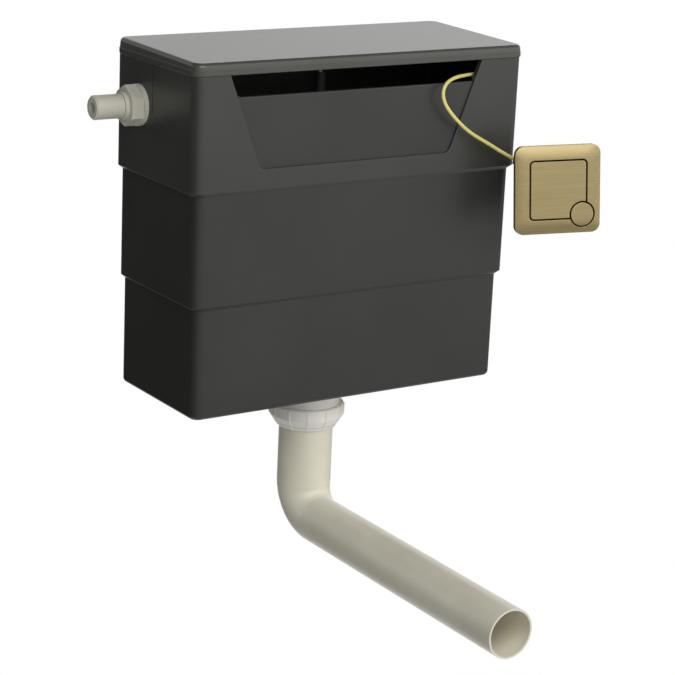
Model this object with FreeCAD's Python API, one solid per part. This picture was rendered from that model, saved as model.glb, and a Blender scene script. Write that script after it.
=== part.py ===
import FreeCAD, Part
import math
import os
from FreeCAD import Placement, Rotation, Vector

# Concealed cistern with a side inlet, a flush bend and a dual flush plate on a cable.
# Millimetres. +Z is up, the front faces -Y and the back lies on the wall plane Y = 0.
# The origin is midway between the two wall fixing holes.

# Tank
TANK_WIDTH = 336.5
TANK_DEPTH = 139.5
UPPER_HEIGHT = 98.2
MIDDLE_HEIGHT = 99.3
LOWER_HEIGHT = 101.2
MIDDLE_SIDE_STEP = 4.5
LOWER_SIDE_STEP = 4.1
MIDDLE_FRONT_STEP = 2.5
LOWER_FRONT_STEP = 2.9
STEP_BEVEL = 3.4
WALL = 3.0
CORNER_R = 9.0
BOTTOM_R = 4.5
SEAM_EDGE_R = 0.8
RIM_ABOVE_FIXINGS = 18.0
FIXING_SPACING = 220.0
FIXING_HOLE_D = 8.0

# Recess in the front, with the access slot above its panel
RECESS_TOP_WIDTH = 257.6
RECESS_BOTTOM_WIDTH = 195.1
RECESS_HEIGHT = 81.1
RECESS_LEFT_OF_MIDDLE = 6.3
RECESS_DEPTH = 2.0
RECESS_CORNER_R = 6.0
RECESS_EDGE_R = 0.8
SLOT_HEIGHT = 19.0
PANEL_EDGE_R = 1.2

# Groove down the left side, from the rim to beside the inlet
GROOVE_FROM_BACK = 66.5
GROOVE_WIDTH = 1.0
GROOVE_DEPTH = 0.8
GROOVE_LENGTH = 44.0

# Lid
LID_HEIGHT = 13.5
LID_FALL = 2.7
LID_BAND = 4.8
LID_DRAFT = 0.8
LID_OVERHANG = 1.0
LID_STEP = 0.4
LID_STEP_R = 0.3
LID_EDGE_R = 3.5
LID_ROOF = 2.5
LIP_CLEARANCE = 0.6
LIP_WALL = 2.0
LIP_DEPTH = 6.0

# Inlet, half inch tail through the left wall
INLET_FROM_BACK = 43.1
INLET_BELOW_RIM = 38.9
INLET_THREAD_D = 20.955
INLET_TAIL_LENGTH = 44.8
INLET_BORE_D = 10.0
INLET_CHAMFER = 1.5
INLET_RELIEF_WIDTH = 2.0
INLET_RELIEF_DEPTH = 0.6
INLET_HOLE_CLEARANCE = 0.5
THREAD_CLEARANCE = 0.1
LOCK_NUT_FLANGE_D = 36.0
LOCK_NUT_FLANGE = 4.0
LOCK_NUT_ACROSS = 31.2
HEX_SIDES = 6
LOCK_NUT_HEIGHT = 10.7
LOCK_NUT_COLLAR_D = 24.0
LOCK_NUT_COLLAR = 3.9

# Fill valve inside the left wall
INLET_WASHER = 2.0
SHOULDER_D = 34.0
SHOULDER = 4.0
VALVE_BODY_D = 24.0
VALVE_BODY_LENGTH = 21.0
VALVE_HEAD_D = 34.0
VALVE_HEAD = 7.0
DIAPHRAGM = 2.0
DIAPHRAGM_D = 30.0
CAP = 9.0
EAR_WALL = 4.0
EAR_HEIGHT = 12.0
PIN_FROM_CAP = 8.0
PIN_D = 4.0
PIN_SEAT_CLEARANCE = 0.02
PIN_RUNNING_CLEARANCE = 0.05
SPIGOT_D = 14.0
SPIGOT_DROP = 20.0
SPIGOT_BORE_D = 9.0
REFILL_TUBE_ABOVE_FLOOR = 60.0

# Float arm, at its lowest when the tank is empty
ARM_WIDTH = 9.0
ARM_HEIGHT = 6.0
ARM_HUB_D = 11.0
ARM_SIDE_CLEARANCE = 0.3
ARM_DROOP_DEG = 12.0
ARM_BOSS_D = 14.0
ARM_BOSS_HEIGHT = 10.0
FLOAT_D = 40.0
FLOAT_HEIGHT = 40.0
FLOAT_EDGE_R = 4.0
FLOAT_NECK_D = 16.0
FLOAT_NECK = 6.0
FLOAT_TOWER_GAP = 17.0
FLOAT_ROD_D = 6.0
FLOAT_ROD_IN_FLOAT = 15.0
FLOAT_NUT_D = 14.0
FLOAT_NUT = 4.0
FLOAT_ROD_ABOVE_NUT = 5.0

# Outlet, two inch tail through the floor
OUTLET_FROM_BACK = 65.9
OUTLET_THREAD_D = 59.6
OUTLET_BORE_D = 52.0
OUTLET_TAIL_LENGTH = 38.5
OUTLET_HOLE_CLEARANCE = 0.5
OUTLET_FLANGE_D = 82.0
OUTLET_FLANGE = 5.0
OUTLET_SEAL = 3.0
SEAT_D = 66.0
SEAT_WALL = 3.0
SEAT_HEIGHT = 6.0
BACK_NUT_D = 72.0
BACK_NUT_HEIGHT = 11.0
BACK_NUT_LOBES = 8
BACK_NUT_NOTCH_D = 9.0

# Coupling nut and flush pipe
COUPLING_D = 68.6
COUPLING_BOTTOM_D = 55.0
COUPLING_BELOW_TANK = 22.0
COUPLING_BARREL = 11.0
COUPLING_CONE = 10.5
COUPLING_FLOOR = 3.5
COUPLING_RIBS = 12
COUPLING_EDGE_R = 1.6
RIB_WIDTH = 1.6
RIB_DEPTH = 0.7
RIB_ROOT = 1.5
PIPE_D = 50.0
PIPE_ARM_D = 44.0
PIPE_WALL = 1.8
PIPE_IN_TAIL = 18.0
PIPE_BEND_R = 30.0
ARM_BELOW_TANK = 129.8
ARM_REACH = 319.3
PIPE_SLIP = 0.05

# Flush valve
TOWER_SEAT_GAP = 2.5
TOWER_WALL = 2.5
TOWER_TOP_BELOW_RIM = 140.0
TOWER_ROOF = 4.0
TOWER_WINDOWS = 6
WINDOW_WIDTH = 18.0
WINDOW_HEIGHT = 28.0
WINDOW_ABOVE_FLANGE = 10.0
OVERFLOW_D = 30.0
OVERFLOW_WALL = 2.0
OVERFLOW_TOP_BELOW_RIM = 96.0
OVERFLOW_GUIDE_CLEARANCE = 0.4
VALVE_DISC_PAST_SEAT = 0.5
VALVE_DISC = 4.0
VALVE_SEAL = 2.5
VALVE_SEAL_PAST_SEAT = 1.0
CROSSBAR_WIDTH = 6.0
CROSSBAR_HEIGHT = 5.0

# Cable end on the flush valve
BRACKET_TOP_BELOW_RIM = 66.0
BRACKET_POST = 8.0
BRACKET_DEPTH = 12.0
BRACKET_BRIDGE = 4.0
BRACKET_SPAN = 62.0
FERRULE_D = 10.0
FERRULE_NECK_D = 6.0
FERRULE_LENGTH = 50.0
WIRE_D = 1.5
WIRE_BORE_D = 2.6
WIRE_IN_FERRULE = 10.0

# Cable inside the tank
CABLE_D = 3.2
CABLE_RUN_BELOW_RIM = 2.0
CABLE_RISE_R = 13.0
CABLE_TURN_FROM_WALL = 10.0
CABLE_TURN_SHARE = 0.95
CABLE_EXIT_FROM_SIDE = 44.3
CABLE_EXIT_FROM_FRONT = 12.0
CABLE_EXIT_BELOW_RIM = 14.8
CLIP_D = 8.0
CLIP_WIDTH = 6.0
CLIP_STEM = 4.0
CLIP_CLEARANCE = 0.3

# Route of the free cable from its exit towards the plate, chosen along the photographed curve
CABLE_ROUTE = (
    Vector(-14.4, -4.0, 0.2),
    Vector(-29.6, -9.5, -0.2),
    Vector(-41.6, -14.3, -3.4),
    Vector(-47.8, -18.0, -10.9),
    Vector(-46.2, -20.5, -21.3),
    Vector(-35.2, -22.0, -34.2),
    Vector(-18.7, -22.5, -47.8),
    Vector(4.0, -22.0, -59.6),
)
CABLE_LAST_RUN = 16.0
CABLE_CORNER_SHARE = 0.45

# Flush plate, hanging from its cable: middle of its rear face from the cable's exit, and its turn
PLATE_RIGHT_OF_EXIT = 53.0
PLATE_AHEAD_OF_EXIT = 60.2
PLATE_BELOW_EXIT = 96.6
PLATE_YAW_DEG = -20.9
PLATE_TILT_DEG = -4.5
PLATE_ROLL_DEG = -2.3
PLATE_SIZE = 79.2
PLATE_CORNER_R = 8.0
PLATE_RIM = 5.3
PLATE_RISE = 2.2
PLATE_BORDER = 12.0
PLATE_BORDER_STEPS = 4
PLATE_SIDE_WALL = 2.2
PLATE_HOLLOW = 4.0
BUTTON_OPENING = 53.9
BUTTON_OPENING_R = 4.5
BUTTON_GAP = 1.3
BUTTON_EDGE_R = 0.4
BUTTON_CAP = 2.5
HALF_OPENING_D = 23.7
HALF_BUTTON_X = 22.4
HALF_BUTTON_Z = -22.8

# Housing behind the plate
HOUSING_FLANGE = 1.5
HOUSING_FLANGE_CLEARANCE = 0.4
HOUSING_BOX = 61.0
HOUSING_BOX_R = 4.0
HOUSING_BOX_DEPTH = 16.0
HOUSING_WALL = 2.0
CAN_D = 44.0
CAN_DEPTH = 16.5
GUIDE_DEPTH = 4.0
GUIDE_HEIGHT = 14.0
PANEL_SCREW_SPACING = 68.0
PANEL_SCREW_HOLE_D = 3.4
GASKET = 2.0
GASKET_SIZE = 77.2

# Button stems, springs and the slider that pulls the cable
FULL_STROKE = 5.0
FULL_STEM_X = -2.5
FULL_STEM_Z = 8.0
FULL_STEM_D = 6.0
FULL_COLLAR_D = 15.0
FULL_COLLAR_FRONT = -1.0
FULL_COLLAR = 2.0
FULL_SPRING_D = 11.0
FULL_SPRING_WIRE_D = 1.0
FULL_SPRING_TURNS = 3
HALF_STEM_X = 22.0
HALF_STEM_Z = -22.0
HALF_STEM_D = 4.4
HALF_STEM_END = 17.5
HALF_COLLAR_D = 9.0
HALF_COLLAR_FRONT = 1.0
HALF_COLLAR = 1.5
HALF_SPRING_D = 7.7
HALF_SPRING_WIRE_D = 0.9
HALF_SPRING_TURNS = 4
STEM_RUNNING_CLEARANCE = 0.06
SPRING_END_GAP = 0.05
SLIDER_RATIO = 2.0
RAMP_GAP = 0.4
RAMP_TIP = 22.5
SLIDER_WIDTH = 10.0
SLIDER_FRONT = 19.5
SLIDER_WALL = 3.0
SLIDER_FLOOR_GAP = 0.3
SLIDER_TAIL = 1.5
SLIDER_POCKET_GAP = 0.6
GLAND_TURN_DEG = 30.0
GLAND_D = 9.0
GLAND_LENGTH = 11.0
GLAND_DEPTH = 23.0
SLIDER_WIRE_D = 1.4
SLIDER_WIRE_IN_GLAND = 10.5

# Lengths that only serve the cutting
OVERRUN = 1.0
TINY = 1.0e-4

# Levels and places worked out from the sizes above
RIM_Z = RIM_ABOVE_FIXINGS
STEP1_Z = RIM_Z - UPPER_HEIGHT
STEP2_Z = STEP1_Z - MIDDLE_HEIGHT
BOTTOM_Z = STEP2_Z - LOWER_HEIGHT
FLOOR_Z = BOTTOM_Z + WALL
LEFT_X = -TANK_WIDTH / 2
RIGHT_INNER_X = TANK_WIDTH / 2 - WALL
UPPER_TIER = (TANK_WIDTH / 2, TANK_DEPTH)
MIDDLE_TIER = (UPPER_TIER[0] - MIDDLE_SIDE_STEP, TANK_DEPTH - MIDDLE_FRONT_STEP)
LOWER_TIER = (MIDDLE_TIER[0] - LOWER_SIDE_STEP, MIDDLE_TIER[1] - LOWER_FRONT_STEP)
INLET_Y = -INLET_FROM_BACK
INLET_Z = RIM_Z - INLET_BELOW_RIM
OUTLET_Y = -OUTLET_FROM_BACK
FLANGE_TOP_Z = FLOOR_Z + OUTLET_SEAL + OUTLET_FLANGE
SEAT_Z = FLANGE_TOP_Z + SEAT_HEIGHT
DISC_Z = SEAT_Z + VALVE_SEAL
TAIL_END_Z = BOTTOM_Z - OUTLET_TAIL_LENGTH
COUPLING_TOP_Z = BOTTOM_Z - COUPLING_BELOW_TANK
COUPLING_BOTTOM_Z = COUPLING_TOP_Z - COUPLING_BARREL - COUPLING_CONE
TOWER_D = SEAT_D + 2 * (TOWER_SEAT_GAP + TOWER_WALL)
VALVE_DISC_D = SEAT_D + 2 * VALVE_DISC_PAST_SEAT
VALVE_SEAL_D = SEAT_D + 2 * VALVE_SEAL_PAST_SEAT
TOWER_TOP_Z = RIM_Z - TOWER_TOP_BELOW_RIM
OVERFLOW_TOP_Z = RIM_Z - OVERFLOW_TOP_BELOW_RIM
BRIDGE_TOP_Z = RIM_Z - BRACKET_TOP_BELOW_RIM
BRIDGE_Z = BRIDGE_TOP_Z - BRACKET_BRIDGE
FERRULE_TOP_Z = BRIDGE_TOP_Z + FERRULE_LENGTH
CABLE_RUN_Z = RIM_Z - CABLE_RUN_BELOW_RIM
CABLE_EXIT_X = TANK_WIDTH / 2 - CABLE_EXIT_FROM_SIDE
CABLE_EXIT = Vector(CABLE_EXIT_X, CABLE_EXIT_FROM_FRONT - TANK_DEPTH, RIM_Z - CABLE_EXIT_BELOW_RIM)
CABLE_TURN_X = RIGHT_INNER_X - CABLE_TURN_FROM_WALL
CABLE_TURN_START = Vector(CABLE_TURN_X, OUTLET_Y, CABLE_RUN_Z)
CABLE_TURN_END = CABLE_EXIT + CABLE_ROUTE[0] * ((CABLE_TURN_X - CABLE_EXIT_X) / CABLE_ROUTE[0].x)
CABLE_TURN_ROOM = min((OUTLET_Y - CABLE_TURN_END.y) / 2, CABLE_TURN_X - CABLE_EXIT_X)
PLATE_PLACE = CABLE_EXIT + Vector(PLATE_RIGHT_OF_EXIT, -PLATE_AHEAD_OF_EXIT, -PLATE_BELOW_EXIT)
LOCK_NUT_END_X = LEFT_X - LOCK_NUT_FLANGE - LOCK_NUT_HEIGHT - LOCK_NUT_COLLAR
WALL_INNER_X = LEFT_X + WALL
SHOULDER_X = WALL_INNER_X + INLET_WASHER
VALVE_BODY_X = SHOULDER_X + SHOULDER
VALVE_HEAD_X = VALVE_BODY_X + VALVE_BODY_LENGTH
DIAPHRAGM_X = VALVE_HEAD_X + VALVE_HEAD
CAP_X = DIAPHRAGM_X + DIAPHRAGM
EAR_X = CAP_X + CAP
PIN_X = EAR_X + PIN_FROM_CAP
FLOAT_X = -(TOWER_D / 2 + FLOAT_TOWER_GAP + FLOAT_D / 2)
BOSS_Z = INLET_Z - (FLOAT_X - PIN_X) * math.tan(math.radians(ARM_DROOP_DEG))
PLATE_FRONT_Y = -(PLATE_RIM + PLATE_RISE)
CAP_BACK_Y = PLATE_FRONT_Y + BUTTON_CAP
BOX_FLOOR_Y = HOUSING_BOX_DEPTH - HOUSING_WALL
GUIDE_Y = BOX_FLOOR_Y - GUIDE_DEPTH
CAN_BACK_Y = HOUSING_BOX_DEPTH + CAN_DEPTH
CAN_FLOOR_Y = CAN_BACK_Y - HOUSING_WALL
SLIDER_STROKE = FULL_STROKE * SLIDER_RATIO
GLAND_MOUTH = CAN_D / 2 + GLAND_LENGTH

ALONG_X = Vector(1, 0, 0)
ALONG_Y = Vector(0, 1, 0)
ALONG_Z = Vector(0, 0, 1)


# Shared shapes

def corner_arc(corner, before, after, tangent):
    """Start, middle and end of the arc that meets both runs at one distance from their corner."""
    inward_run = (corner - before).normalize()
    outward_run = (after - corner).normalize()
    half_turn = inward_run.getAngle(outward_run) / 2
    radius = tangent / math.tan(half_turn)
    middle = (outward_run - inward_run).normalize() * (radius / math.cos(half_turn) - radius)
    return corner - inward_run * tangent, corner + middle, corner + outward_run * tangent


def half_turn_tangent(corner, before, after):
    return math.tan((corner - before).getAngle(after - corner) / 2)


def rounded_wire(points, radii, closed):
    """Straight runs through the points, with a tangent arc at each corner that has a radius."""
    count = len(points)
    marks = []
    for index, corner in enumerate(points):
        if radii[index] == 0:
            marks.append((corner, None, corner))
            continue
        before = points[index - 1]
        after = points[(index + 1) % count]
        tangent = radii[index] * half_turn_tangent(corner, before, after)
        marks.append(corner_arc(corner, before, after, tangent))
    edges = []
    for index, (start, middle, end) in enumerate(marks):
        if middle is not None:
            edges.append(Part.Arc(start, middle, end).toShape())
        if closed or index < count - 1:
            following = marks[(index + 1) % count][0]
            if end.distanceToPoint(following) > TINY:
                edges.append(Part.makeLine(end, following))
    return Part.Wire(edges)


def rounded_rectangle(half_width, front, back, z, radius):
    """Level outline between two depths, centred on X."""
    corners = [
        Vector(half_width, front, z),
        Vector(half_width, back, z),
        Vector(-half_width, back, z),
        Vector(-half_width, front, z),
    ]
    return rounded_wire(corners, [radius] * 4, True)


def rounded_square(half, y, radius):
    """Upright outline in the plate's own frame."""
    corners = [
        Vector(half, y, half),
        Vector(-half, y, half),
        Vector(-half, y, -half),
        Vector(half, y, -half),
    ]
    return rounded_wire(corners, [radius] * 4, True)


def prism(wire, direction):
    return Part.Face(wire).extrude(direction)


def rod(diameter, start, direction, length):
    return Part.makeCylinder(diameter / 2, length, start, direction)


def ring(outer, inner, start, direction, length):
    hole = rod(inner, start - direction * OVERRUN, direction, length + 2 * OVERRUN)
    return rod(outer, start, direction, length).cut(hole)


def block(low, high):
    size = high - low
    return Part.makeBox(size.x, size.y, size.z, low)


def joined(shapes):
    return shapes[0].multiFuse(shapes[1:]).removeSplitter()


def level_edges(shape, z):
    found = []
    for edge in shape.Edges:
        box = edge.BoundBox
        if abs(box.ZMin - z) < TINY and abs(box.ZMax - z) < TINY:
            found.append(edge)
    return found


def edges_left_of(shape, x):
    return [edge for edge in shape.Edges if edge.BoundBox.XMax < x + TINY]


def tube_along(wire, diameter):
    """Round solid that follows a wire of lines and tangent arcs."""
    start_edge = wire.OrderedEdges[0]
    start = wire.OrderedVertexes[0].Point
    direction = start_edge.tangentAt(start_edge.getParameterByLength(0.0))
    profile = Part.Wire(Part.makeCircle(diameter / 2, start, direction))
    return wire.makePipeShell([profile], True, False)


def coil_spring(diameter, wire_diameter, turns, start, end):
    """Coil along +Y between two depths, each half turn drawn as two tangent arcs."""
    radius = (diameter - wire_diameter) / 2
    inset = wire_diameter / 2 + SPRING_END_GAP
    first = start + inset
    rise = (end - inset - first) / (turns * math.tau)

    def place(angle):
        return Vector(radius * math.cos(angle), first + rise * angle, -radius * math.sin(angle))

    def heading(angle):
        return Vector(-radius * math.sin(angle), rise, -radius * math.cos(angle)).normalize()

    edges = []
    for step in range(turns * 2):
        angle = step * math.pi
        low = place(angle)
        high = place(angle + math.pi)
        low_run = heading(angle)
        high_run = heading(angle + math.pi)
        across = high - low
        runs = low_run + high_run
        spread = 2 * (1 - low_run.dot(high_run))
        reach = (math.sqrt(across.dot(runs) ** 2 + spread * across.dot(across)) - across.dot(runs)) / spread
        low_corner = low + low_run * reach
        high_corner = high - high_run * reach
        for corner, before, after in ((low_corner, low, high_corner), (high_corner, low_corner, high)):
            edges.append(Part.Arc(*corner_arc(corner, before, after, reach)).toShape())
    print("coil gap %.2f mm" % (rise * math.tau - wire_diameter))
    return tube_along(Part.Wire(edges), wire_diameter)


# Tank and lid

def tier_outline(tier, inset, z):
    half_width, depth = tier
    return rounded_rectangle(half_width - inset, inset - depth, -inset, z, CORNER_R - inset)


def tank_stack(inset, bottom, top):
    """Three tiers with sloping undersides, drawn in by the inset on every side."""
    lift = inset * (math.sqrt(2) - 1)
    step1 = STEP1_Z + lift
    step2 = STEP2_Z + lift
    lower = prism(tier_outline(LOWER_TIER, inset, bottom), ALONG_Z * (step2 - STEP_BEVEL - bottom))
    lower = lower.makeFillet(BOTTOM_R - inset, level_edges(lower, bottom))
    pieces = [
        lower,
        Part.makeLoft(
            [tier_outline(LOWER_TIER, inset, step2 - STEP_BEVEL), tier_outline(MIDDLE_TIER, inset, step2)],
            True,
            True,
        ),
        prism(tier_outline(MIDDLE_TIER, inset, step2), ALONG_Z * (step1 - STEP_BEVEL - step2)),
        Part.makeLoft(
            [tier_outline(MIDDLE_TIER, inset, step1 - STEP_BEVEL), tier_outline(UPPER_TIER, inset, step1)],
            True,
            True,
        ),
        prism(tier_outline(UPPER_TIER, inset, step1), ALONG_Z * (top - step1)),
    ]
    return joined(pieces)


def recess_prism(grow, depth):
    """Trapezium that narrows downwards, cut into the front and open at the rim."""
    slope = (RECESS_TOP_WIDTH - RECESS_BOTTOM_WIDTH) / 2 / RECESS_HEIGHT
    widen = grow * math.hypot(1, slope)
    top_half = RECESS_TOP_WIDTH / 2 + slope * OVERRUN + widen
    bottom_half = RECESS_BOTTOM_WIDTH / 2 - slope * grow + widen
    top_z = RIM_Z + OVERRUN
    bottom_z = RIM_Z - RECESS_HEIGHT - grow
    front = -TANK_DEPTH - OVERRUN
    middle = -RECESS_LEFT_OF_MIDDLE
    corners = [
        Vector(middle + top_half, front, top_z),
        Vector(middle - top_half, front, top_z),
        Vector(middle - bottom_half, front, bottom_z),
        Vector(middle + bottom_half, front, bottom_z),
    ]
    radius = RECESS_CORNER_R + grow
    return prism(rounded_wire(corners, [0, 0, radius, radius], True), ALONG_Y * (depth + OVERRUN))


def recess_border(shape):
    """Edges of the recess on the front face."""
    edges = []
    for edge in shape.Edges:
        box = edge.BoundBox
        on_front = abs(box.YMin + TANK_DEPTH) < TINY and abs(box.YMax + TANK_DEPTH) < TINY
        off_middle = max(-box.XMin - RECESS_LEFT_OF_MIDDLE, box.XMax + RECESS_LEFT_OF_MIDDLE)
        inside = off_middle < RECESS_TOP_WIDTH / 2 + OVERRUN
        if on_front and inside and box.ZMin > RIM_Z - RECESS_HEIGHT - OVERRUN:
            edges.append(edge)
    return edges


def tank_shell():
    outer = tank_stack(0.0, BOTTOM_Z, RIM_Z)
    outer = outer.makeFillet(SEAM_EDGE_R, level_edges(outer, RIM_Z))
    cavity = tank_stack(WALL, FLOOR_Z, RIM_Z + OVERRUN)
    behind_panel = RECESS_DEPTH + WALL
    shell = outer.cut(recess_prism(0.0, RECESS_DEPTH))
    shell = shell.makeFillet(RECESS_EDGE_R, recess_border(shell))
    shell = shell.cut(cavity.cut(recess_prism(WALL, behind_panel)))
    panel_top = RIM_Z - SLOT_HEIGHT
    reach = TANK_WIDTH / 2
    above_panel = block(Vector(-reach, -TANK_DEPTH - OVERRUN, panel_top), Vector(reach, 0, RIM_Z + OVERRUN))
    shell = shell.cut(recess_prism(0.0, behind_panel + OVERRUN).common(above_panel))
    panel_edges = []
    for edge in level_edges(shell, panel_top):
        if edge.BoundBox.XLength > RECESS_BOTTOM_WIDTH:
            panel_edges.append(edge)
    shell = shell.makeFillet(PANEL_EDGE_R, panel_edges)
    inlet_hole = INLET_THREAD_D + 2 * INLET_HOLE_CLEARANCE
    outlet_hole = OUTLET_THREAD_D + 2 * OUTLET_HOLE_CLEARANCE
    cuts = [
        rod(inlet_hole, Vector(LEFT_X - OVERRUN, INLET_Y, INLET_Z), ALONG_X, WALL + 2 * OVERRUN),
        rod(outlet_hole, Vector(0, OUTLET_Y, BOTTOM_Z - OVERRUN), ALONG_Z, WALL + 2 * OVERRUN),
        block(
            Vector(LEFT_X - OVERRUN, -GROOVE_FROM_BACK - GROOVE_WIDTH / 2, RIM_Z - GROOVE_LENGTH),
            Vector(LEFT_X + GROOVE_DEPTH, -GROOVE_FROM_BACK + GROOVE_WIDTH / 2, RIM_Z + OVERRUN),
        ),
    ]
    for side in (-1, 1):
        start = Vector(side * FIXING_SPACING / 2, -WALL - OVERRUN, 0)
        cuts.append(rod(FIXING_HOLE_D, start, ALONG_Y, WALL + 2 * OVERRUN))
    return shell.cut(cuts)


def lid_outline(inset, z):
    """Outline that overhangs the tank at the front and both sides, drawn in by the inset."""
    half_width, depth = UPPER_TIER
    grow = LID_OVERHANG - inset
    return rounded_rectangle(half_width + grow, -depth - grow, -inset, z, CORNER_R + grow)


def lid_top_z(y):
    """Level of the lid's top, which falls towards the front."""
    return RIM_Z + LID_HEIGHT + LID_FALL * y / TANK_DEPTH


def above_lid():
    """All that lies over the sloping top."""
    back = LID_OVERHANG + OVERRUN
    front = -TANK_DEPTH - back
    side = -TANK_WIDTH / 2 - back
    clear_z = lid_top_z(back) + OVERRUN
    corners = [
        Vector(side, back, lid_top_z(back)),
        Vector(side, front, lid_top_z(front)),
        Vector(side, front, clear_z),
        Vector(side, back, clear_z),
    ]
    return prism(Part.makePolygon(corners + corners[:1]), ALONG_X * (-2 * side))


def lid_top_edges(shape):
    found = []
    for edge in shape.Edges:
        if all(abs(vertex.Z - lid_top_z(vertex.Y)) < TINY for vertex in edge.Vertexes):
            found.append(edge)
    return found


def lid():
    """Upright band, rounded crown on top of it and a lip inside the tank's rim."""
    band_z = RIM_Z + LID_BAND
    top_z = RIM_Z + LID_HEIGHT
    band = prism(lid_outline(0.0, RIM_Z), ALONG_Z * LID_BAND)
    band = band.makeFillet(LID_STEP_R, level_edges(band, band_z))
    band = band.makeFillet(SEAM_EDGE_R, level_edges(band, RIM_Z))
    crown = Part.makeLoft(
        [lid_outline(LID_STEP, band_z), lid_outline(LID_STEP + LID_DRAFT, top_z)],
        True,
        True,
    )
    crown = crown.cut(above_lid())
    crown = crown.makeFillet(LID_EDGE_R, lid_top_edges(crown))
    lip_outer = WALL + LIP_CLEARANCE
    lip_inner = lip_outer + LIP_WALL
    lip_z = RIM_Z - LIP_DEPTH
    lip = prism(tier_outline(UPPER_TIER, lip_outer, lip_z), ALONG_Z * (LIP_DEPTH + SEAM_EDGE_R))
    clear_half = RECESS_TOP_WIDTH / 2 + 2 * WALL
    clear_left = -RECESS_LEFT_OF_MIDDLE - clear_half
    clear_right = -RECESS_LEFT_OF_MIDDLE + clear_half
    clear_back = RECESS_DEPTH + WALL + LIP_CLEARANCE - TANK_DEPTH
    lip = lip.cut(block(Vector(clear_left, -TANK_DEPTH, lip_z), Vector(clear_right, clear_back, RIM_Z)))
    hollow_z = lip_z - OVERRUN
    roof_z = lid_top_z(-TANK_DEPTH) - LID_ROOF
    hollow = prism(tier_outline(UPPER_TIER, lip_inner, hollow_z), ALONG_Z * (roof_z - hollow_z))
    return joined([band, crown, lip]).cut(hollow).removeSplitter()


# Inlet and fill valve

def at_inlet(x):
    return Vector(x, INLET_Y, INLET_Z)


def inlet_lock_nut():
    """Flanged hexagon nut with a collar, its corners up and down."""
    hex_x = LEFT_X - LOCK_NUT_FLANGE
    collar_x = LOCK_NUT_END_X + LOCK_NUT_COLLAR
    corner_reach = LOCK_NUT_ACROSS / math.sqrt(3)
    corners = []
    for index in range(HEX_SIDES + 1):
        angle = math.tau * index / HEX_SIDES
        offset = Vector(0, corner_reach * math.sin(angle), corner_reach * math.cos(angle))
        corners.append(at_inlet(hex_x) + offset)
    hexagon = prism(Part.makePolygon(corners), ALONG_X * -LOCK_NUT_HEIGHT)
    rounding = rod(LOCK_NUT_FLANGE_D, at_inlet(hex_x), ALONG_X * -1, LOCK_NUT_HEIGHT)
    rounding = rounding.makeChamfer(INLET_CHAMFER, edges_left_of(rounding, collar_x))
    flange = rod(LOCK_NUT_FLANGE_D, at_inlet(LEFT_X), ALONG_X * -1, LOCK_NUT_FLANGE)
    collar = rod(LOCK_NUT_COLLAR_D, at_inlet(collar_x), ALONG_X * -1, LOCK_NUT_COLLAR)
    nut = joined([flange, hexagon.common(rounding), collar])
    bore_length = LEFT_X - LOCK_NUT_END_X + 2 * OVERRUN
    bore = INLET_THREAD_D + 2 * THREAD_CLEARANCE
    return nut.cut(rod(bore, at_inlet(LEFT_X + OVERRUN), ALONG_X * -1, bore_length))


def inlet_washer():
    bore = INLET_THREAD_D + 2 * THREAD_CLEARANCE
    return ring(SHOULDER_D, bore, at_inlet(WALL_INNER_X), ALONG_X, INLET_WASHER)


def inlet_shank():
    """Tail with a relief under the nut, shoulder, valve body and spigot in one moulding."""
    tail_x = LEFT_X - INLET_TAIL_LENGTH
    tail = rod(INLET_THREAD_D, at_inlet(tail_x), ALONG_X, SHOULDER_X - tail_x)
    tail = tail.makeChamfer(INLET_CHAMFER, edges_left_of(tail, tail_x))
    spigot_top = Vector(VALVE_BODY_X + VALVE_BODY_LENGTH / 2, INLET_Y, INLET_Z)
    solid = joined([
        tail,
        rod(SHOULDER_D, at_inlet(SHOULDER_X), ALONG_X, SHOULDER),
        rod(VALVE_BODY_D, at_inlet(VALVE_BODY_X), ALONG_X, VALVE_BODY_LENGTH),
        rod(VALVE_HEAD_D, at_inlet(VALVE_HEAD_X), ALONG_X, VALVE_HEAD),
        rod(SPIGOT_D, spigot_top, ALONG_Z * -1, SPIGOT_DROP),
    ])
    waterway = rod(INLET_BORE_D, at_inlet(tail_x - OVERRUN), ALONG_X, DIAPHRAGM_X - tail_x - VALVE_HEAD)
    drop = rod(SPIGOT_BORE_D, spigot_top, ALONG_Z * -1, SPIGOT_DROP + OVERRUN)
    relief_d = INLET_THREAD_D - 2 * INLET_RELIEF_DEPTH
    relief = ring(SHOULDER_D, relief_d, at_inlet(LOCK_NUT_END_X), ALONG_X, INLET_RELIEF_WIDTH)
    return solid.cut([waterway, drop, relief])


def refill_tube():
    top = Vector(VALVE_BODY_X + VALVE_BODY_LENGTH / 2, INLET_Y, INLET_Z - SPIGOT_DROP)
    return ring(SPIGOT_D, SPIGOT_BORE_D, top, ALONG_Z * -1, top.z - FLOOR_Z - REFILL_TUBE_ABOVE_FLOOR)


def fill_valve_diaphragm():
    return rod(DIAPHRAGM_D, at_inlet(DIAPHRAGM_X), ALONG_X, DIAPHRAGM)


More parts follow.
